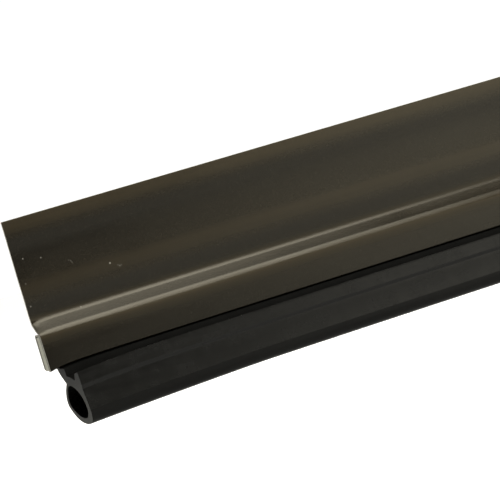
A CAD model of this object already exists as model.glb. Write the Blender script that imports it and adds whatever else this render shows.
import math

import bmesh
import bpy
from mathutils import Matrix, Vector, noise
from mathutils.geometry import tessellate_polygon


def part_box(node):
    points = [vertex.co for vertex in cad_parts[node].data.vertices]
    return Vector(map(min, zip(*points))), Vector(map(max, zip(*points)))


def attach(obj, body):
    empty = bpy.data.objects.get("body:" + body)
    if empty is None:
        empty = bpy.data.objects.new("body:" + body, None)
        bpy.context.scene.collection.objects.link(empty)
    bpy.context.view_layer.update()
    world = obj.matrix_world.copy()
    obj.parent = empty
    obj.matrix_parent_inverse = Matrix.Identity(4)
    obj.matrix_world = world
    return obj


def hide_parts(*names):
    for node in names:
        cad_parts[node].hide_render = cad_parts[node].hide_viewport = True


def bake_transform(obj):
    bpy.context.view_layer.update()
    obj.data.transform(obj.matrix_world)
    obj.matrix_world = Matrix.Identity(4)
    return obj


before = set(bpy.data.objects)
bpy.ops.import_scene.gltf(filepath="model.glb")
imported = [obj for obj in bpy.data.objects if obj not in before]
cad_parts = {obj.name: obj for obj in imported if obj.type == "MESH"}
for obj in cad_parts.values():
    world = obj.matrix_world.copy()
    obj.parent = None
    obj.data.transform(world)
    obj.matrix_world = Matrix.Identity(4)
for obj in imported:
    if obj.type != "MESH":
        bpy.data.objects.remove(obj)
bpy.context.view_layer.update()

# A door sweep: a strip of painted aluminium, bent into a flange and a folded channel, grips a vinyl
# seal, and four screws hold it on a door. X runs along the sweep, the door's face is Y = 0 and
# the sweep is in front of it, at negative Y. Sizes are in millimetres unless a name says otherwise.
MM = 0.001


def cad_box(node):
    """A CAD node's lowest and highest corners at rest."""
    low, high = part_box(node)
    return low / MM, high / MM


STRIP_LOW, STRIP_HIGH = cad_box("carrier")
TAIL_LOW, TAIL_HIGH = cad_box("seal_tail")
BULB_BOTTOM = cad_box("seal_bulb")[0].z
SCREW_NODES = [f"screw_{number}" for number in range(1, 5)]

LEFT = STRIP_LOW.x
RIGHT = STRIP_HIGH.x
HEM = STRIP_LOW.z

# How much the sharp edges are broken, and the material slot of every cut face.
BROKEN_EDGE = 0.06
CUT_FACE = 1

# The strip's centre line, as (Y, Z). It runs down the flange, out over the joggle, down the front
# leg, up again as an inner layer, over the seal's tail and down the back leg.
SHEET = 0.5
HEM_GAP = 0.1
DOOR_LINE = STRIP_HIGH.y - SHEET / 2
FRONT_LINE = STRIP_LOW.y + SHEET / 2
INNER_LINE = FRONT_LINE + SHEET + HEM_GAP
FLANGE_BEND = -13.3
LEG_BEND = -16.95
CHANNEL_TOP = -17.05
BACK_LEG_STEP = 0.75
STRIP_CORNERS = [
    (DOOR_LINE, STRIP_HIGH.z),
    (DOOR_LINE, FLANGE_BEND),
    (FRONT_LINE, LEG_BEND),
    (FRONT_LINE, HEM + SHEET / 2),
    (INNER_LINE, HEM + SHEET / 2),
    (INNER_LINE, CHANNEL_TOP),
    (DOOR_LINE, CHANNEL_TOP),
    (DOOR_LINE, HEM + BACK_LEG_STEP),
]
FLANGE_BEND_RADIUS = 3.3
LEG_BEND_RADIUS = 3.0
HEM_FOLD_RADIUS = 0.3
TOP_FOLD_RADIUS = 0.4
STRIP_RADII = [
    FLANGE_BEND_RADIUS, LEG_BEND_RADIUS,
    HEM_FOLD_RADIUS, HEM_FOLD_RADIUS,
    TOP_FOLD_RADIUS, TOP_FOLD_RADIUS,
]
SLOT_WIDTH = 4.4
SLOT_LENGTH = 12.7

# The soft seal's section, as (forward of the door's face, below the hem). Each run is smooth, and
# the runs meet at the section's corners.
STEM_BACK = [(0.56, -0.5), (0.6, 0.0), (1.15, 1.05), (2.0, 2.1), (3.35, 3.8)]
BULB = [
    (3.35, 3.8), (1.9, 5.5), (1.0, 7.9), (1.5, 9.75), (4.5, 12.85), (7.6, 14.25), (9.8, 14.42),
    (11.1, 14.0), (11.75, 12.7), (11.85, 11.2), (11.65, 9.4), (11.37, 7.6), (11.16, 6.35), (11.1, 5.8),
    (11.22, 5.2), (11.12, 4.1), (11.0, 2.4), (10.9, 1.84),
]
LIP_TOP = [(10.9, 1.84), (9.95, 1.8), (9.05, 1.92)]
LIP_BACK = [(9.05, 1.92), (8.85, 2.3), (8.3, 3.45)]
VALLEY = [(8.3, 3.45), (6.5, 2.6), (4.75, 2.05)]
STEM_FRONT = [(4.75, 2.05), (4.6, 1.3), (4.4, 0.62)]
NECK_FRONT = [(4.4, 0.62), (3.3, 0.48), (2.3, 0.4), (2.05, 0.0), (2.04, -0.5)]
HOLLOW = [
    (4.2, 4.6), (6.6, 5.1), (8.8, 6.85), (10.0, 9.2), (10.2, 11.4), (9.0, 12.75), (6.6, 12.5),
    (3.9, 10.8), (2.2, 8.5), (2.7, 6.2),
]

# How far the soft seal stops short of each end of the strip, and how far below the hem the top of
# its lip and the bottom of its bulb are.
SEAL_RECESS = 3.0
LIP_DROP = 1.85
BULB_DROP = 14.42


def share(value, start, end):
    """How far value has gone from start to end, held between 0 and 1."""
    return min(1.0, max(0.0, (value - start) / (end - start)))


def rise(value, start, end):
    """The same share, eased at both ends."""
    t = share(value, start, end)
    return t * t * (3 - 2 * t)


def near_ends(x, reach, right_share):
    """1 at the left cut end and right_share at the right one, fading with the distance from each."""
    return math.exp((LEFT - x) / reach) + right_share * math.exp((x - RIGHT) / reach)


# ---------------------------------------------------------------- meshes

def turned(vector, angle):
    """A (Y, Z) vector turned by an angle in radians."""
    cosine, sine = math.cos(angle), math.sin(angle)
    return Vector((vector.x * cosine - vector.y * sine, vector.x * sine + vector.y * cosine))


def left_of(vector):
    """A (Y, Z) vector turned by a quarter to the left."""
    return Vector((-vector.y, vector.x))


def run_samples(start, end, pitch, ease=0.15):
    """Points along a straight run, with a short step at each end so that bends shade cleanly."""
    length = (end - start).length
    if length < 4 * ease:
        return [start, end]
    steps = max(1, round((length - 2 * ease) / pitch))
    stops = [0.0] + [ease + (length - 2 * ease) * k / steps for k in range(steps + 1)] + [length]
    return [start.lerp(end, stop / length) for stop in stops]


def strip_outline(corners, radii, thickness, pitch, arc_steps=12):
    """The closed outline of a bent strip: a list of (point, outward normal)."""
    corners = [Vector(c) for c in corners]
    centre_line = []
    start = corners[0]
    for before, corner, after, radius in zip(corners, corners[1:], corners[2:], radii):
        arriving = (corner - before).normalized()
        leaving = (after - corner).normalized()
        turn = math.atan2(arriving.x * leaving.y - arriving.y * leaving.x, arriving.dot(leaving))
        side = math.copysign(1.0, turn)
        reach = radius * math.tan(abs(turn) / 2)
        entry = corner - arriving * reach
        centre_line += [(p, left_of(arriving)) for p in run_samples(start, entry, pitch)]
        hub = entry + left_of(arriving) * radius * side
        for k in range(1, arc_steps):
            normal = turned(left_of(arriving), turn * k / arc_steps)
            centre_line.append((hub - normal * radius * side, normal))
        start = corner + leaving * reach
    end_normal = left_of((corners[-1] - corners[-2]).normalized())
    centre_line += [(p, end_normal) for p in run_samples(start, corners[-1], pitch)]

    half = thickness / 2
    first, last = centre_line[0], centre_line[-1]
    ahead = (centre_line[1][0] - first[0]).normalized()
    astern = (centre_line[-2][0] - last[0]).normalized()

    def strip_end(sample, inward, side):
        """The two outline points that break a sharp edge of the strip."""
        point, normal = sample
        edge = (point + normal * side * (half - BROKEN_EDGE), (normal * side - inward).normalized())
        flank = (point + inward * BROKEN_EDGE + normal * side * half, normal * side)
        return edge, flank

    near_edge, near_flank = strip_end(first, ahead, 1)
    far_edge, far_flank = strip_end(last, astern, 1)
    outline = [near_edge, near_flank]
    outline += [(p + n * half, n) for p, n in centre_line[1:-1]]
    outline += [far_flank, far_edge]
    far_edge, far_flank = strip_end(last, astern, -1)
    near_edge, near_flank = strip_end(first, ahead, -1)
    outline += [far_edge, far_flank]
    outline += [(p - n * half, -n) for p, n in reversed(centre_line[1:-1])]
    outline += [near_flank, near_edge]
    return outline


def smooth_run(points, pitch, closed=False):
    """Points sampled along a smooth curve through the given ones."""
    points = [Vector(p) for p in points]
    count = len(points)

    def heading(i):
        """The curve's direction at one of the given points."""
        if closed:
            return (points[(i + 1) % count] - points[i - 1]).normalized()
        return (points[min(i + 1, count - 1)] - points[max(i - 1, 0)]).normalized()

    samples = []
    for i in range(count if closed else count - 1):
        start, end = points[i], points[(i + 1) % count]
        chord = (end - start).length
        steps = max(2, round(chord / pitch))
        out, back = heading(i) * chord, heading((i + 1) % count) * chord
        for k in range(steps):
            t = k / steps
            samples.append(
                start * (2 * t**3 - 3 * t**2 + 1)
                + out * (t**3 - 2 * t**2 + t)
                + end * (3 * t**2 - 2 * t**3)
                + back * (t**3 - t**2)
            )
    return samples


def with_normals(samples):
    """Adds the outward normal to each point of a closed outline."""
    area = sum(a.x * b.y - a.y * b.x for a, b in zip(samples, samples[1:] + samples[:1]))
    side = -math.copysign(1.0, area)
    outline = []
    for before, point, after in zip(samples[-1:] + samples[:-1], samples, samples[1:] + samples[:1]):
        outline.append((point, left_of((after - before).normalized()) * side))
    return outline


def stations(start, end, widest=6.0):
    """Places along X for a bar's rings: close together near its cut ends."""
    steps = [BROKEN_EDGE, 0.3, 0.5, 0.7, 1.0, 1.3, 1.6, 2.0, 2.5, 3.0, 3.5, 4.0, 4.5, 5.0]
    near = [start]
    for step in steps:
        near.append(near[-1] + step)
    far = [start + end - x for x in reversed(near)]
    count = math.ceil((far[0] - near[-1]) / widest)
    middle = [near[-1] + (far[0] - near[-1]) * k / count for k in range(1, count)]
    return near + middle + far


def bar(name, loops, xs, place, materials, pick=lambda point: 0):
    """A bar swept along X, capped at both ends. The first loop is its outline, the others hollows.

    Each loop is a list of (point, outward normal), and the end rings are drawn in by BROKEN_EDGE.
    The two cut ends take CUT_FACE, and pick chooses a side's material slot from its section point.
    """
    mesh = bmesh.new()
    rings = []
    for x in xs:
        inset = BROKEN_EDGE if x in (xs[0], xs[-1]) else 0.0
        ring = []
        for loop in loops:
            points = [p - n * inset for p, n in loop]
            ring.append([mesh.verts.new(Vector(place(x, p.x, p.y)) * MM) for p in points])
        rings.append(ring)
    for here, there in zip(rings, rings[1:]):
        for loop, a, b in zip(loops, here, there):
            for k in range(len(a)):
                j = (k + 1) % len(a)
                side = mesh.faces.new((a[k], a[j], b[j], b[k]))
                side.material_index = pick(loop[k][0])
    flat = [[Vector((p.x, p.y, 0)) for p, _ in loop] for loop in loops]
    triangles = tessellate_polygon(flat)
    for ring in (rings[0], rings[-1]):
        corners = [v for loop in ring for v in loop]
        for triangle in triangles:
            mesh.faces.new([corners[i] for i in triangle]).material_index = CUT_FACE
    bmesh.ops.recalc_face_normals(mesh, faces=mesh.faces)
    return finished(name, mesh, materials)


def finished(name, mesh, materials):
    """Turns a bmesh into a smooth-shaded object with sharp corners kept."""
    data = bpy.data.meshes.new(name)
    mesh.to_mesh(data)
    mesh.free()
    for material in materials:
        data.materials.append(material)
    piece = bpy.data.objects.new(name, data)
    bpy.context.scene.collection.objects.link(piece)
    shade(piece)
    return piece


def shade(piece):
    """Shades a piece smooth, except across edges that turn sharply."""
    data = piece.data
    data.polygons.foreach_set("use_smooth", [True] * len(data.polygons))
    data.set_sharp_from_angle(angle=math.radians(32))


def cut_away(piece, cutters):
    """Cuts each cutter's shape out of the piece."""
    for cutter in cutters:
        modifier = piece.modifiers.new("cut", "BOOLEAN")
        modifier.operation = "DIFFERENCE"
        modifier.solver = "EXACT"
        modifier.object = cutter
    bpy.context.view_layer.update()
    evaluated = piece.evaluated_get(bpy.context.evaluated_depsgraph_get())
    data = bpy.data.meshes.new_from_object(evaluated)
    piece.modifiers.clear()
    piece.data = data
    for cutter in cutters:
        bpy.data.objects.remove(cutter)
    shade(piece)


def rings_to_solid(name, rings, materials, material_index=CUT_FACE):
    """A closed solid through rings of points, each ring of the same length."""
    mesh = bmesh.new()
    made = [[mesh.verts.new(Vector(p) * MM) for p in ring] for ring in rings]
    for here, there in zip(made, made[1:]):
        for k in range(len(here)):
            j = (k + 1) % len(here)
            mesh.faces.new((here[k], here[j], there[j], there[k]))
    mesh.faces.new(made[0])
    mesh.faces.new(made[-1])
    for face in mesh.faces:
        face.material_index = material_index
    bmesh.ops.recalc_face_normals(mesh, faces=mesh.faces)
    return finished(name, mesh, materials)


# ---------------------------------------------------------------- materials

class Recipe:
    """A node material being put together around one Principled shader."""

    def __init__(self, name, roughness, specular=0.5, metallic=0.0, tint=(1.0, 1.0, 1.0)):
        self.material = bpy.data.materials.new(name)
        self.material.use_nodes = True
        self.nodes = self.material.node_tree.nodes
        self.links = self.material.node_tree.links
        self.shader = self.nodes["Principled BSDF"]
        self.shader.inputs["Roughness"].default_value = roughness
        self.shader.inputs["Specular IOR Level"].default_value = specular
        self.shader.inputs["Specular Tint"].default_value = (*tint, 1.0)
        self.shader.inputs["IOR"].default_value = 1.5
        self.shader.inputs["Metallic"].default_value = metallic
        place = self.nodes.new("ShaderNodeTexCoord").outputs["Object"]
        self.place = self.vector("SCALE", place, scale=1 / MM)

    def feed(self, socket, value):
        """Links a socket to another one, or sets its value."""
        if isinstance(value, bpy.types.NodeSocket):
            self.links.new(value, socket)
        else:
            socket.default_value = value

    def vector(self, operation, first, second=None, scale=None):
        """Vector arithmetic. A distance comes out as a plain value."""
        node = self.nodes.new("ShaderNodeVectorMath")
        node.operation = operation
        self.feed(node.inputs[0], first)
        if second is not None:
            self.feed(node.inputs[1], second)
        if scale is not None:
            node.inputs["Scale"].default_value = scale
        return node.outputs["Value" if operation == "DISTANCE" else "Vector"]

    def maths(self, operation, first, second, clamp=False):
        """Plain arithmetic on two values."""
        node = self.nodes.new("ShaderNodeMath")
        node.operation = operation
        node.use_clamp = clamp
        self.feed(node.inputs[0], first)
        self.feed(node.inputs[1], second)
        return node.outputs[0]

    def axis(self, name):
        """The place on the piece along one axis, in millimetres."""
        node = self.nodes.new("ShaderNodeSeparateXYZ")
        self.feed(node.inputs[0], self.place)
        return node.outputs[name]

    def noise(self, size, detail=2.0, roughness=0.5, shift=0.0):
        """Noise whose features are about size = (x, y, z) millimetres."""
        stretched = self.vector("MULTIPLY", self.place, tuple(1 / s for s in size))
        node = self.nodes.new("ShaderNodeTexNoise")
        self.feed(node.inputs["Vector"], self.vector("ADD", stretched, (shift, shift, shift)))
        node.inputs["Scale"].default_value = 1.0
        node.inputs["Detail"].default_value = detail
        node.inputs["Roughness"].default_value = roughness
        return node.outputs["Fac"]

    def spread(self, value, low, high, start=0.0, end=1.0, smooth=False):
        """Maps low..high to start..end, and holds the ends."""
        node = self.nodes.new("ShaderNodeMapRange")
        node.interpolation_type = "SMOOTHSTEP" if smooth else "LINEAR"
        self.feed(node.inputs["Value"], value)
        for socket, number in zip(("From Min", "From Max", "To Min", "To Max"), (low, high, start, end)):
            node.inputs[socket].default_value = number
        return node.outputs[0]

    def ramp(self, value, stops):
        """A colour ramp through (position, colour) stops, where a plain number is a grey."""
        node = self.nodes.new("ShaderNodeValToRGB")
        elements = node.color_ramp.elements
        while len(elements) < len(stops):
            elements.new(0.5)
        for element, (position, colour) in zip(elements, stops):
            element.position = position
            element.color = (*colour, 1.0) if isinstance(colour, tuple) else (colour, colour, colour, 1.0)
        self.feed(node.inputs[0], value)
        return node.outputs["Color"]

    def mix(self, factor, first, second, blend="MIX"):
        """Blends two colours, from the first at factor 0 to the second at 1."""
        node = self.nodes.new("ShaderNodeMix")
        node.data_type = "RGBA"
        node.blend_type = blend
        self.feed(node.inputs["Factor"], factor)
        for socket, value in ((node.inputs[6], first), (node.inputs[7], second)):
            self.feed(socket, (*value, 1.0) if isinstance(value, tuple) else value)
        return node.outputs[2]

    def bump(self, height, depth, normal=None):
        """Raises the surface by height times depth millimetres."""
        node = self.nodes.new("ShaderNodeBump")
        node.inputs["Strength"].default_value = 1.0
        node.inputs["Distance"].default_value = depth * MM
        self.feed(node.inputs["Height"], height)
        if normal is not None:
            self.feed(node.inputs["Normal"], normal)
        return node.outputs["Normal"]

    def finish(self, colour, roughness, normal=None):
        """Feeds the shader and returns the material."""
        self.feed(self.shader.inputs["Base Color"], colour)
        self.feed(self.shader.inputs["Roughness"], roughness)
        if normal is not None:
            self.feed(self.shader.inputs["Normal"], normal)
        return self.material


# How light the paint is up the strip, from the hem (0) to the top edge (1). Part of this stands in
# for what glossy paint mirrors.
PAINT_BANDS = [
    (0.00, 0.09), (0.10, 0.10), (0.14, 0.22), (0.18, 0.50), (0.202, 0.90), (0.215, 0.70), (0.25, 0.34),
    (0.315, 0.50), (0.328, 0.52), (0.350, 0.16), (0.38, 0.05), (0.42, 0.06), (0.445, 0.16), (0.50, 0.38),
    (0.55, 0.46), (0.60, 0.22), (0.70, 0.13), (0.80, 0.05), (0.86, 0.06), (0.91, 0.34), (0.95, 0.64),
    (1.00, 0.72),
]
# How much rougher the rollers left the paint beside the two bends, on the same scale.
BEND_WEAR = [(0.12, 0.0), (0.19, 0.14), (0.21, 0.06), (0.23, 0.0), (0.31, 0.0), (0.33, 0.14), (0.37, 0.0)]
# Dust on the paint, as (from the left end, height, how bright). A speck fades from its core to its
# edge.
DUST = [
    (2.9, 2.4, 0.22), (7.8, 1.4, 0.20), (15.1, -1.2, 0.05), (15.6, -1.45, 0.08), (15.85, -1.9, 0.08),
    (26.1, -4.9, 0.50), (28.15, -5.95, 0.08), (28.6, -6.25, 0.14), (29.1, -6.15, 0.08),
    (1.6, -3.8, 0.12), (1.1, -9.6, 0.16), (14.5, -13.3, 0.20),
]
SPECK_CORE = 0.10
SPECK_EDGE = 0.28


def dust_on(paint):
    """How much dust lies on each place of the paint."""
    place = paint.nodes.new("ShaderNodeCombineXYZ")
    paint.feed(place.inputs["X"], paint.maths("SUBTRACT", paint.axis("X"), LEFT))
    paint.feed(place.inputs["Z"], paint.axis("Z"))
    dusty = 0.0
    for along, up, bright in DUST:
        away = paint.vector("DISTANCE", place.outputs[0], (along, 0.0, up))
        speck = paint.spread(away, SPECK_CORE, SPECK_EDGE, bright, 0.0, smooth=True)
        dusty = paint.maths("MAXIMUM", dusty, speck)
    return dusty


def bronze_paint():
    """Semi-gloss dark bronze paint on roll-formed strip, with faint lengthwise streaks and dust."""
    paint = Recipe("bronze_paint", roughness=0.24, specular=0.15, tint=(1.0, 0.94, 0.80))
    streaks = paint.noise((260.0, 40.0, 1.6), detail=4.0, roughness=0.6)
    clouds = paint.noise((28.0, 8.0, 5.0), detail=3.0, roughness=0.55, shift=4.0)
    grain = paint.noise((0.35, 0.35, 0.3), detail=2.0, roughness=0.6, shift=9.0)
    up_the_strip = paint.spread(paint.axis("Z"), STRIP_LOW.z, STRIP_HIGH.z)
    colour = paint.ramp(paint.spread(streaks, 0.3, 0.7), [
        (0.0, (0.0162, 0.0116, 0.0054)), (1.0, (0.0232, 0.0174, 0.0088)),
    ])
    colour = paint.mix(1.0, colour, paint.ramp(up_the_strip, PAINT_BANDS), "MULTIPLY")
    tone = paint.spread(clouds, 0.3, 0.7, 0.85, 1.15)
    colour = paint.mix(1.0, colour, paint.ramp(tone, [(0.8, 0.8), (1.0, 1.0)]), "MULTIPLY")
    fleck = paint.spread(grain, 0.55, 0.8, 0.0, 0.14)
    colour = paint.mix(fleck, colour, (0.060, 0.050, 0.034))
    colour = paint.mix(dust_on(paint), colour, (0.42, 0.40, 0.36))
    worn = paint.ramp(up_the_strip, BEND_WEAR)
    roughness = paint.maths("ADD", paint.spread(clouds, 0.3, 0.7, 0.19, 0.25), worn)
    normal = paint.bump(grain, 0.004)
    normal = paint.bump(streaks, 0.010, normal)
    return paint.finish(colour, roughness, normal)


def cut_metal():
    """The strip's sawn edge: bare aluminium with saw marks across it. It is bright on the flange,
    dull on the channel's front layers and dark on its back leg."""
    metal = Recipe("cut_metal", roughness=0.5, specular=0.4)
    marks = metal.noise((0.3, 0.5, 0.08), detail=3.0, roughness=0.6)
    blotch = metal.noise((0.8, 0.6, 0.8), detail=2.0, shift=3.0)
    patchy = metal.spread(blotch, 0.3, 0.7)
    back_leg = metal.spread(metal.axis("Y"), -0.85, -0.45, smooth=True)
    flange = metal.spread(metal.axis("Z"), -17.0, -12.5, smooth=True)
    bright = metal.mix(patchy, (0.27, 0.26, 0.215), (0.36, 0.345, 0.295))
    dull = metal.mix(patchy, (0.11, 0.107, 0.08), (0.16, 0.155, 0.12))
    dark = metal.mix(patchy, (0.065, 0.062, 0.05), (0.095, 0.09, 0.075))
    colour = metal.mix(flange, metal.mix(back_leg, dull, dark), bright)
    return metal.finish(colour, metal.spread(marks, 0.3, 0.7, 0.4, 0.6), metal.bump(marks, 0.02))


def rigid_vinyl():
    """The light-grey hard half of the seal."""
    vinyl = Recipe("rigid_vinyl", roughness=0.5, specular=0.3)
    marks = vinyl.noise((0.5, 0.5, 0.12), detail=3.0, roughness=0.6)
    blotch = vinyl.noise((3.0, 1.0, 1.2), detail=2.0, shift=2.0)
    colour = vinyl.mix(vinyl.spread(blotch, 0.3, 0.7), (0.140, 0.138, 0.105), (0.185, 0.182, 0.140))
    return vinyl.finish(colour, vinyl.spread(marks, 0.3, 0.7, 0.45, 0.6), vinyl.bump(marks, 0.015))


def soft_vinyl(name, specular, dullness):
    """Black satin vinyl with the lengthwise lines that an extrusion die leaves, and faint lumps."""
    vinyl = Recipe(name, roughness=0.3, specular=specular)
    lines = vinyl.noise((300.0, 0.5, 0.5), detail=4.0, roughness=0.65)
    smears = vinyl.noise((16.0, 3.0, 2.2), detail=3.0, roughness=0.6, shift=6.0)
    grain = vinyl.noise((0.3, 0.3, 0.3), detail=2.0, shift=1.0)
    colour = vinyl.mix(vinyl.spread(smears, 0.3, 0.7), (0.0008, 0.0008, 0.0007), (0.0018, 0.0018, 0.0016))
    chatter = vinyl.noise((3.0, 7.0, 4.5), detail=3.0, roughness=0.55, shift=8.0)
    roughness = vinyl.spread(smears, 0.3, 0.7, 0.22 + dullness, 0.28 + dullness)
    roughness = vinyl.maths("ADD", roughness, vinyl.spread(chatter, 0.35, 0.65, -0.03, 0.03), clamp=True)
    normal = vinyl.bump(grain, 0.003)
    normal = vinyl.bump(chatter, 0.012, normal)
    normal = vinyl.bump(lines, 0.008, normal)
    return vinyl.finish(colour, roughness, normal)


def cut_vinyl():
    """The soft seal's cut face, paler towards the bulb's bottom and matt, with fine drag marks."""
    vinyl = Recipe("cut_vinyl", roughness=0.7, specular=0.12)
    marks = vinyl.noise((0.4, 1.2, 0.12), detail=3.0, roughness=0.6)
    colour = vinyl.mix(vinyl.spread(marks, 0.3, 0.7), (0.020, 0.020, 0.0175), (0.034, 0.034, 0.030))
    rubbed = vinyl.spread(vinyl.axis("Z"), HEM - 15.0, HEM - 0.5, 0.95, 0.14)
    colour = vinyl.mix(rubbed, (0.002, 0.002, 0.002), colour)
    return vinyl.finish(colour, vinyl.spread(marks, 0.3, 0.7, 0.6, 0.8), vinyl.bump(marks, 0.02))


def screw_steel():
    """Bronze-coated steel with worn, brighter patches."""
    steel = Recipe("screw_steel", roughness=0.35, specular=0.5, metallic=1.0)
    wear = steel.noise((0.8, 0.8, 0.8), detail=4.0, roughness=0.65)
    scratches = steel.noise((0.08, 0.4, 1.6), detail=3.0, shift=5.0)
    colour = steel.ramp(wear, [
        (0.30, (0.045, 0.034, 0.022)), (0.58, (0.075, 0.058, 0.038)), (0.75, (0.19, 0.16, 0.12)),
    ])
    return steel.finish(colour, steel.spread(wear, 0.3, 0.7, 0.42, 0.26), steel.bump(scratches, 0.006))


def floor_material():
    """Pale matt paper with a very faint mottle."""
    paper = Recipe("floor", roughness=0.9, specular=0.1)
    mottle = paper.noise((60.0, 60.0, 60.0), detail=3.0)
    colour = paper.mix(paper.spread(mottle, 0.3, 0.7), (0.90, 0.90, 0.90), (0.93, 0.93, 0.93))
    return paper.finish(colour, paper.spread(mottle, 0.3, 0.7, 0.85, 0.95))


# ---------------------------------------------------------------- the strip and the hard tail

# What the saw did to the strip's cut ends, in millimetres at the left one, and how far along the
# sweep each mark reaches.
SAW_DIP = 1.0
SAW_DIP_REACH = 4.2
EDGE_DRAG = 0.09
JOGGLE_KICK = 0.42
KICK_REACH = 1.6
LEG_PINCH = 0.14
PINCH_REACH = 3.2


def saw_dip(x, z):
    """How far the saw pulled the channel down at a cut end."""
    return SAW_DIP * near_ends(x, SAW_DIP_REACH, 0.5) * rise(z, -17.5, -25.0)


def saw_kick(x, y, z):
    """How far, in X and Y, the saw dragged the cut edge outwards and bent joggle and front leg back."""
    above_channel = rise(z, -17.2, -15.6)
    drag = -EDGE_DRAG * near_ends(x, KICK_REACH, -0.6) * rise(z, 3.0, -2.0)
    kick = JOGGLE_KICK * near_ends(x, KICK_REACH, 0.6) * rise(z, -12.9, -14.5)
    pinch = LEG_PINCH * near_ends(x, PINCH_REACH, 0.6) * rise(y, -0.9, -2.1) * rise(z, -15.0, -16.5)
    return drag * above_channel, kick * above_channel + pinch


# What rolling did to it: two shallow steps in the flange, and a hem pressed a little longer.
RELIEF_SLOPE = -0.045
RELIEF_WIDTH = 1.9
UPPER_STEP = 6.4
LOWER_STEP = -9.8
HEM_GROWTH = 0.27
PRESSED_RADIUS = 0.55


def rolled_in(y, z):
    """How far the front leg leans back from upright, most of all where it leaves the bend above it."""
    lean = 0.03 * (min(z, -17.0) + 21.0) + 0.07 * share(z, -20.5, -17.1) ** 3
    return lean * share(y, -0.5, -2.1)


def rolled_relief(z):
    """The flange's faint lengthwise relief."""
    steps = math.tanh((z - UPPER_STEP) / RELIEF_WIDTH) + math.tanh((z - LOWER_STEP) / RELIEF_WIDTH)
    return RELIEF_SLOPE * RELIEF_WIDTH * (steps - z / UPPER_STEP) * rise(z, -13.2, -11.7)


def pressed_hem(y, z):
    """Squares the rolled hem a little, as pressing it flat does."""
    hub_y, hub_z = (FRONT_LINE + INNER_LINE) / 2, HEM + PRESSED_RADIUS
    across, down = y - hub_y, hub_z - z
    reach = math.hypot(across, down)
    if down <= 0 or abs(across) > PRESSED_RADIUS + 0.01 or reach < PRESSED_RADIUS - 0.15:
        return y, z
    cosine, sine = abs(across) / reach, down / reach
    grown = (cosine**4 + sine**4) ** -0.25
    return hub_y + across * grown, hub_z - down * grown


def strip_place(x, y, z):
    """Where a point of the straight section really is, with the marks of rolling and cutting."""
    flange = rise(z, -14.0, -10.0)
    wave = 0.05 * noise.noise(Vector((x / 110, z / 16, 2.0))) * flange
    leg_wave = 0.03 * noise.noise(Vector((x / 80, z / 9, 7.0))) * (1 - flange)
    outward, back = saw_kick(x, y, z)
    shift = rolled_in(y, z) + wave + leg_wave + rolled_relief(z) + back
    y, z = pressed_hem(y, z)
    return x + outward, y + shift, z - saw_dip(x, z) - HEM_GROWTH * rise(z, -23.0, -25.0)


# A slot's edges are broken by SLOT_BREAK, and its cutter stands past each face by CUTTER_REACH.
SLOT_BREAK = 0.08
CUTTER_REACH = 0.3
SLOT_SIDES = 48


def slot_cutter(x, materials):
    """An upright round-ended slot, opened out a little at both faces of the flange."""
    rings = []
    straight = (SLOT_LENGTH - SLOT_WIDTH) / 2
    opened = SLOT_BREAK + CUTTER_REACH
    for y, grown in (
        (-SHEET - CUTTER_REACH, opened), (-SHEET + SLOT_BREAK, 0.0),
        (-SLOT_BREAK, 0.0), (CUTTER_REACH, opened),
    ):
        radius = SLOT_WIDTH / 2 + grown
        ring = []
        for k in range(SLOT_SIDES):
            angle = 2 * math.pi * (k + 0.5) / SLOT_SIDES
            lift = math.copysign(straight, math.sin(angle))
            ring.append((x + radius * math.cos(angle), y, radius * math.sin(angle) + lift))
        rings.append(ring)
    return rings_to_solid("slot_cutter", rings, materials)


def make_strip():
    """The carrier: the bent strip with its four slots. Its slit top edge is as bare as its cut ends."""
    materials = [bronze_paint(), cut_metal()]
    outline = strip_outline(STRIP_CORNERS, STRIP_RADII, SHEET, pitch=1.4)
    strip = bar("carrier_strip", [outline], stations(LEFT, RIGHT), strip_place, materials)
    for face in strip.data.polygons:
        if face.center.z > (STRIP_HIGH.z - 0.8 * BROKEN_EDGE) * MM:
            face.material_index = CUT_FACE
    cutters = []
    for node in SCREW_NODES:
        low, high = cad_box(node)
        cutters.append(slot_cutter((low.x + high.x) / 2, materials))
    cut_away(strip, cutters)
    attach(strip, "carrier")
    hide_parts("carrier")


TAIL_GAP = 0.02
TAIL_FOOT = HEM + 0.4
TAIL_INSET = 0.05


def make_tail():
    """The hard half of the seal, held in the channel and cut almost flush with the strip."""
    front, back = TAIL_LOW.y + TAIL_GAP, TAIL_HIGH.y - TAIL_GAP
    corners = [(front, TAIL_HIGH.z), (back, TAIL_HIGH.z), (back, TAIL_FOOT), (front, TAIL_FOOT)]
    samples = []
    for start, end in zip(corners, corners[1:] + corners[:1]):
        samples += run_samples(Vector(start), Vector(end), pitch=0.8)[1:]
    vinyl = rigid_vinyl()
    xs = stations(LEFT + TAIL_INSET, RIGHT - TAIL_INSET)
    tail = bar("hard_tail", [with_normals(samples)], xs, strip_place, [vinyl, vinyl])
    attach(tail, "carrier")
    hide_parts("seal_tail")


# ---------------------------------------------------------------- the soft seal

# How far the soft seal sags at the left cut end, and how far along the sweep each sag reaches.
LIP_SAG = 1.3
LIP_SAG_REACH = 12
BULB_KINK = 1.25
BULB_KINK_REACH = 55
BULB_SAG = 0.75
BULB_SAG_REACH = 65

# How far the bulb's cut ends have sprung forwards, and how far along the sweep each flare reaches.
LEFT_FLARE = 0.15
LEFT_FLARE_REACH = 10
RIGHT_FLARE = 0.3
RIGHT_FLARE_REACH = 16


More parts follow.
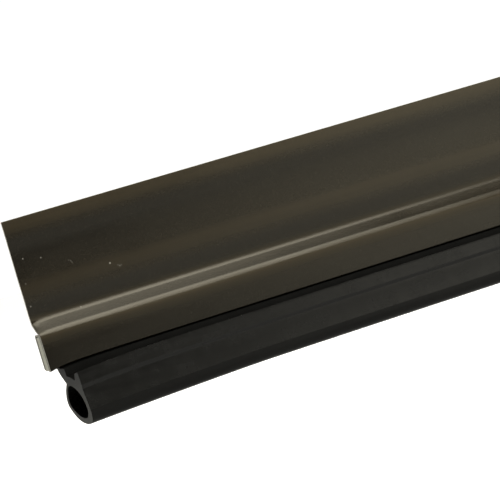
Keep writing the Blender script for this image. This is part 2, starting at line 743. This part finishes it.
def droop(x, drop):
    """How far the soft seal hangs down near a cut end, at a depth below the hem."""
    total = 0.0
    for distance, end_share in ((x - LEFT, 1.0), (RIGHT - x, 0.6)):
        hem = SAW_DIP * math.exp(-distance / SAW_DIP_REACH)
        lip = LIP_SAG * math.exp((SEAL_RECESS - distance) / LIP_SAG_REACH)
        bottom = BULB_KINK * share(distance, BULB_KINK_REACH, 0) ** 1.1
        bottom += BULB_SAG * math.exp(-distance / BULB_SAG_REACH)
        if drop < LIP_DROP:
            amount = hem + (lip - hem) * max(0.0, drop) / LIP_DROP
        else:
            amount = lip + (bottom - lip) * (drop - LIP_DROP) / (BULB_DROP - LIP_DROP)
        total += end_share * amount
    return total


def flare(x, drop):
    """How far a cut end of the bulb has sprung forwards."""
    left = LEFT_FLARE * math.exp((LEFT + SEAL_RECESS - x) / LEFT_FLARE_REACH)
    right = RIGHT_FLARE * math.exp((x + SEAL_RECESS - RIGHT) / RIGHT_FLARE_REACH)
    return (left + right) * rise(drop, 5.0, 10.5)


def seal_place(x, forward, drop):
    """Where a point of the soft seal's straight section really is."""
    deep = rise(drop, 0.0, 4.0)
    forward += flare(x, drop) * rise(forward, 4.0, 11.0)
    sway = 0.06 * noise.noise(Vector((x / 70, drop / 12, 3.0))) * deep
    sag = 0.05 * noise.noise(Vector((x / 55, forward / 14, 8.0))) * deep
    return x, -(forward + sway), HEM - drop - droop(x, drop) + sag


# The seal's material slots beside CUT_FACE, and where in the section they meet.
FRONT_VINYL = 0
GROOVE_VINYL = 2
UNDER_VINYL = 3
GROOVE_FRONT = 9.0
GROOVE_BOTTOM = 6.0
UNDER_TOP = 11.3


def seal_surface(point):
    """The material slot at a section point: satin in front, dull behind the lip and underneath."""
    forward, drop = point
    if forward < GROOVE_FRONT and drop < GROOVE_BOTTOM:
        return GROOVE_VINYL
    return UNDER_VINYL if drop > UNDER_TOP else FRONT_VINYL


def make_seal():
    """The seal's soft half, in one piece that bends between the carrier and the flexing body."""
    runs = [STEM_BACK, BULB, LIP_TOP, LIP_BACK, VALLEY, STEM_FRONT, NECK_FRONT]
    outline = []
    for run in runs:
        outline += smooth_run(run, pitch=0.32)
    outline.append(Vector(NECK_FRONT[-1]))
    hollow = smooth_run(HOLLOW, pitch=0.4, closed=True)
    loops = [with_normals(outline), [(p, -n) for p, n in with_normals(hollow)]]
    xs = stations(LEFT + SEAL_RECESS, RIGHT - SEAL_RECESS)
    materials = [
        soft_vinyl("soft_vinyl", 0.115, 0.0), cut_vinyl(),
        soft_vinyl("groove_vinyl", 0.04, 0.44), soft_vinyl("under_vinyl", 0.07, 0.08),
    ]
    seal = bar("soft_seal", loops, xs, seal_place, materials, seal_surface)
    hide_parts("seal_neck", "seal_bulb")

    # The stem bends between these two places, above and below the hinge.
    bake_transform(seal)


# ---------------------------------------------------------------- the screws

SCREW_HEAD = 3.45
HEAD_GAP = 0.12
SCREW_RIM = 0.7
SCREW_NECK = 1.6
THREAD_START = 0.3
THREAD_CREST = 1.75
THREAD_ROOT = 1.27
THREAD_PITCH = 1.27
THREAD_RUN_IN = 0.5
RIDGE_HALF_WIDTH = 0.26
RINGS_PER_TURN = 12
SCREW_POINT = 3.2
SCREW_SIDES = 40
CROWN_STEPS = 12

# One arm of the cross recess, as (out from the middle, half its width).
RECESS_TIP = (1.9, 0.47)
RECESS_CORNER = (0.62, 0.62)
RECESS_DEPTH = 1.25


def screw_profile(top, seat):
    """(distance along the screw, plain radius) from the head's crown to the thread's start."""
    rise_of_crown = seat - SCREW_RIM - top
    crown = (SCREW_HEAD**2 + rise_of_crown**2) / (2 * rise_of_crown)
    profile = []
    for k in range(1, CROWN_STEPS + 1):
        radius = SCREW_HEAD * math.sin(math.pi / 2 * k / CROWN_STEPS)
        profile.append((top + crown - math.sqrt(crown**2 - radius**2), radius))
    profile += [
        (seat - SCREW_RIM + 0.12, SCREW_HEAD), (seat - 0.14, SCREW_HEAD), (seat - 0.04, SCREW_HEAD - 0.05),
        (seat, SCREW_HEAD - 0.15), (seat, SCREW_NECK + 0.3), (seat + 0.06, SCREW_NECK + 0.06),
        (seat + 0.2, SCREW_NECK), (THREAD_START, SCREW_NECK),
    ]
    return profile


def thread_radius(y, angle, tip):
    """The screw's radius at a place on its thread: a sharp ridge that winds round a plain core.

    The ridge's half width is a share of the pitch.
    """
    phase = (y / THREAD_PITCH - angle / (2 * math.pi)) % 1.0
    ridge = max(0.0, 1 - abs(phase - 0.5) / RIDGE_HALF_WIDTH)
    taper = share(y, tip, tip - SCREW_POINT)
    started = share(y, THREAD_START, THREAD_START + THREAD_RUN_IN)
    depth = (THREAD_CREST - THREAD_ROOT) * ridge * min(1.0, started, 0.25 + taper)
    return THREAD_ROOT * taper**0.8 + depth * min(1.0, 0.2 + taper)


def recess_cutter(top, material):
    """A cross with four arms, narrower as it goes deeper into the head."""
    arm = [(RECESS_TIP[0], -RECESS_TIP[1]), RECESS_TIP, RECESS_CORNER]
    rings = []
    for y, scale in ((top - 0.3, 1.05), (top + 0.25, 0.98), (top + RECESS_DEPTH, 0.42)):
        ring = []
        for quarter in range(4):
            for across, wide in arm:
                p = turned(Vector((across * scale, wide * scale)), quarter * math.pi / 2)
                ring.append((p.x, y, p.y))
        rings.append(ring)
    return rings_to_solid("recess_cutter", rings, [material], material_index=0)


def make_screw_mesh(top, seat, tip, material):
    """A screw along Y, from its crown at top to its point at tip, with its head's underside at seat."""
    angles = [2 * math.pi * k / SCREW_SIDES for k in range(SCREW_SIDES)]
    rings = [
        [(r * math.cos(a), y, r * math.sin(a)) for a in angles] for y, r in screw_profile(top, seat)
    ]
    count = round((tip - THREAD_START) / THREAD_PITCH * RINGS_PER_TURN)
    for k in range(1, count):
        y = THREAD_START + (tip - THREAD_START) * k / count
        radii = [min(THREAD_CREST, thread_radius(y, a, tip)) for a in angles]
        rings.append([(r * math.cos(a), y, r * math.sin(a)) for r, a in zip(radii, angles)])
    screw = rings_to_solid("screw", rings, [material], material_index=0)
    cut_away(screw, [recess_cutter(top, material)])
    mesh = screw.data
    bpy.data.objects.remove(screw)
    return mesh


def make_screws():
    """Four copies of one screw, each stopped at an angle of its own."""
    material = screw_steel()
    low, high = cad_box(SCREW_NODES[0])
    mesh = make_screw_mesh(low.y, -SHEET - HEAD_GAP, high.y, material)
    for number, node in enumerate(SCREW_NODES, 1):
        low, high = cad_box(node)
        screw = bpy.data.objects.new(f"screw_piece_{number}", mesh.copy())
        bpy.context.scene.collection.objects.link(screw)
        screw.location = Vector(((low.x + high.x) / 2, 0.0, (low.z + high.z) / 2)) * MM
        screw.rotation_euler = (0.0, 0.55 * number**2, 0.0)
        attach(screw, "screws")
        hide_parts(node)


# ---------------------------------------------------------------- camera, floor and light

CAMERA_AZIMUTH = -30.0
CAMERA_ELEVATION = 0.62
CAMERA_ROLL = 16.74
CAMERA_DISTANCE = 1.0104
CAMERA_LENS = 281.7
AIM = Vector((LEFT + 66.69, 0.0, -12.19)) * MM


def make_camera():
    """A long lens from the left, nearly level and rolled, so that the sweep climbs to the right."""
    azimuth, elevation = math.radians(CAMERA_AZIMUTH), math.radians(CAMERA_ELEVATION)
    back = Vector((
        math.sin(azimuth) * math.cos(elevation),
        -math.cos(azimuth) * math.cos(elevation),
        math.sin(elevation),
    ))
    right = Vector((0, 0, 1)).cross(back).normalized()
    up = back.cross(right)
    roll = math.radians(CAMERA_ROLL)
    rolled_right = right * math.cos(roll) - up * math.sin(roll)
    rolled_up = right * math.sin(roll) + up * math.cos(roll)
    data = bpy.data.cameras.new("camera")
    data.lens = CAMERA_LENS
    data.sensor_width = 36.0
    camera = bpy.data.objects.new("camera", data)
    bpy.context.scene.collection.objects.link(camera)
    frame_of = Matrix((rolled_right, rolled_up, back)).transposed().to_4x4()
    camera.matrix_world = Matrix.Translation(AIM + back * CAMERA_DISTANCE) @ frame_of
    data.clip_start, data.clip_end = 0.05, 60.0
    bpy.context.scene.camera = camera


def softbox(name, aside, lift, distance, width, height, radiance, colour):
    """A soft panel of light that faces AIM.

    Aside is its angle towards +X, and lift its angle about the X axis, up from straight in front.
    Its width runs along X as far as facing AIM allows. Its distance and size are in metres.
    """
    aside, lift = math.radians(aside), math.radians(lift)
    out = Vector((
        math.sin(aside),
        -math.cos(aside) * math.cos(lift),
        math.cos(aside) * math.sin(lift),
    ))
    across = (Vector((1, 0, 0)) - out * out.x).normalized()
    data = bpy.data.lights.new(name, "AREA")
    data.shape = "RECTANGLE"
    data.size, data.size_y = width, height
    data.energy = radiance * math.pi * width * height
    data.color = colour
    light = bpy.data.objects.new(name, data)
    bpy.context.scene.collection.objects.link(light)
    facing = Matrix((across, out.cross(across), out)).transposed().to_4x4()
    light.matrix_world = Matrix.Translation(AIM + out * distance) @ facing
    light.visible_camera = False


def make_lights():
    """Three warm panels: one high in front, one almost overhead and one low at the right."""
    softbox("main", aside=21, lift=45, distance=1.6, width=0.73, height=0.78, radiance=18.5,
            colour=(1.0, 0.975, 0.88))
    softbox("upper", aside=18, lift=80, distance=1.6, width=0.74, height=1.1, radiance=5.5,
            colour=(1.0, 0.97, 0.86))
    softbox("side", aside=48, lift=9, distance=1.7, width=1.15, height=0.48, radiance=4.2,
            colour=(1.0, 0.965, 0.83))


# How bright the room is in front of the object and behind it, and the backdrop that the camera sees.
ROOM_FRONT = 0.12
ROOM_REAR = 2.8
BACKDROP = 1.05


def make_world():
    """White behind the object, and a room for it to reflect that is dim on the camera's side."""
    world = bpy.data.worlds.new("studio")
    bpy.context.scene.world = world
    world.use_nodes = True
    nodes, links = world.node_tree.nodes, world.node_tree.links
    output = nodes["World Output"]
    room = nodes["Background"]
    room.inputs["Color"].default_value = (1.0, 0.99, 0.97, 1.0)
    towards = nodes.new("ShaderNodeTexCoord").outputs["Generated"]
    split = nodes.new("ShaderNodeSeparateXYZ")
    rear = nodes.new("ShaderNodeMapRange")
    rear.interpolation_type = "SMOOTHSTEP"
    rear.inputs["From Min"].default_value = 0.0
    rear.inputs["From Max"].default_value = 0.5
    rear.inputs["To Min"].default_value = ROOM_FRONT
    rear.inputs["To Max"].default_value = ROOM_REAR
    links.new(towards, split.inputs[0])
    links.new(split.outputs["Y"], rear.inputs["Value"])
    links.new(rear.outputs[0], room.inputs["Strength"])
    backdrop = nodes.new("ShaderNodeBackground")
    backdrop.inputs["Strength"].default_value = BACKDROP
    backdrop.inputs["Color"].default_value = (1.0, 1.0, 1.0, 1.0)
    seen = nodes.new("ShaderNodeLightPath")
    choice = nodes.new("ShaderNodeMixShader")
    links.new(seen.outputs["Is Camera Ray"], choice.inputs[0])
    links.new(room.outputs[0], choice.inputs[1])
    links.new(backdrop.outputs[0], choice.inputs[2])
    links.new(choice.outputs[0], output.inputs["Surface"])


FLOOR_CLEARANCE = 9.5
FLOOR_REACH = 9000.0


def make_floor():
    """A pale floor, low enough to clear the seal at both joints' limits."""
    mesh = bmesh.new()
    for x, y in ((-1, -1), (1, -1), (1, 1), (-1, 1)):
        mesh.verts.new(Vector((x * FLOOR_REACH, y * FLOOR_REACH, BULB_BOTTOM - FLOOR_CLEARANCE)) * MM)
    mesh.faces.new(mesh.verts)
    floor = finished("floor", mesh, [floor_material()])


make_strip()
make_tail()
make_seal()
make_screws()
make_camera()
make_floor()
make_lights()
make_world()
bpy.context.scene.view_settings.view_transform = "Standard"
